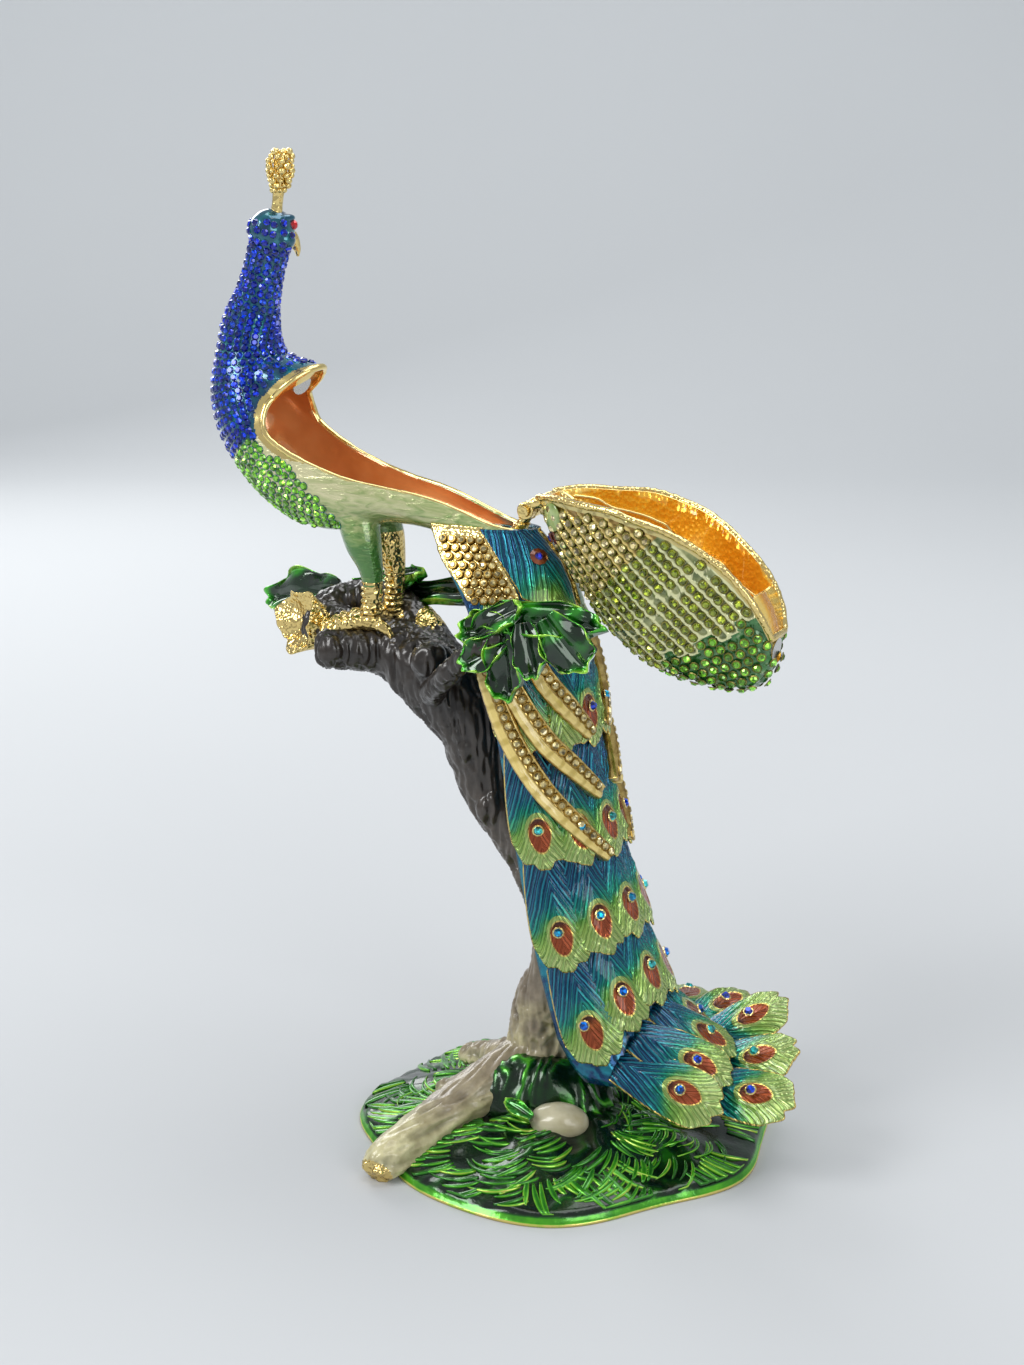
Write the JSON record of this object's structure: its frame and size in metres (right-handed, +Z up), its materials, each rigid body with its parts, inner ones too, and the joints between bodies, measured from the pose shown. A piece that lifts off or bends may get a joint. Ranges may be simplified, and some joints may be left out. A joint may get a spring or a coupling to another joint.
{
  "type": "peacock trinket box figurine",
  "caption": "Enamelled peacock figurine standing on a tree stump with a grassy base; its back is a hinged lid over a small trinket compartment.",
  "frame": {"origin": "The middle of the flat underside of the grassy base.", "axes": "+Z is up. The bird faces -X, its left side is -Y, and its train hangs behind the trunk on the +X side."},
  "size_m": [0.1648, 0.0949, 0.239],
  "materials": {
    "peacock_enamel": "translucent glossy teal, blue and lime enamel over engraved cast metal, with thin gold edges",
    "tree_enamel": "glossy dark green grass and leaves with bright lime edges, brown-black trunk fading to beige roots",
    "lid_enamel": "grooved gold and cream enamel channels set with small stones; orange-amber enamel inside",
    "gold_plate": "bright gold plate",
    "magnet_nickel": "plain nickel-plated disc",
    "red_glass": "faceted foil-backed red glass",
    "blue_glass": "faceted foil-backed blue glass with a rainbow coating"
  },
  "bodies": {
    "figurine": {"tree": "tree_enamel", "peacock": "peacock_enamel", "hinge_pin": "gold_plate", "body_magnet": "magnet_nickel", "right_eye_stone": "red_glass", "left_eye_stone": "red_glass", "train_stone_01": "blue_glass", "train_stone_02": "blue_glass", "train_stone_03": "blue_glass", "train_stone_04": "blue_glass", "train_stone_05": "blue_glass", "train_stone_06": "blue_glass", "train_stone_07": "blue_glass", "train_stone_08": "blue_glass", "train_stone_09": "blue_glass", "train_stone_10": "blue_glass", "train_stone_11": "blue_glass", "train_stone_12": "blue_glass", "train_stone_13": "blue_glass", "train_stone_14": "blue_glass", "train_stone_15": "blue_glass", "train_stone_16": "blue_glass", "train_stone_17": "blue_glass", "train_stone_18": "blue_glass", "train_stone_19": "blue_glass", "train_stone_20": "blue_glass", "train_stone_21": "blue_glass", "train_stone_22": "blue_glass", "train_stone_23": "blue_glass", "train_stone_24": "blue_glass", "train_stone_25": "blue_glass", "train_stone_26": "blue_glass", "train_stone_27": "blue_glass", "train_stone_28": "blue_glass", "train_stone_29": "blue_glass", "train_stone_30": "blue_glass", "train_stone_31": "blue_glass", "train_stone_32": "blue_glass"},
    "lid": {"lid": "lid_enamel", "lid_magnet": "magnet_nickel"}
  },
  "joints": [
    {"name": "lid_hinge", "type": "hinge", "parent": "figurine", "child": "lid", "pos_m": [-0.0096, 0, 0.1566], "axis": [0, -1, 0], "range_deg": [0, 170]}
  ]
}
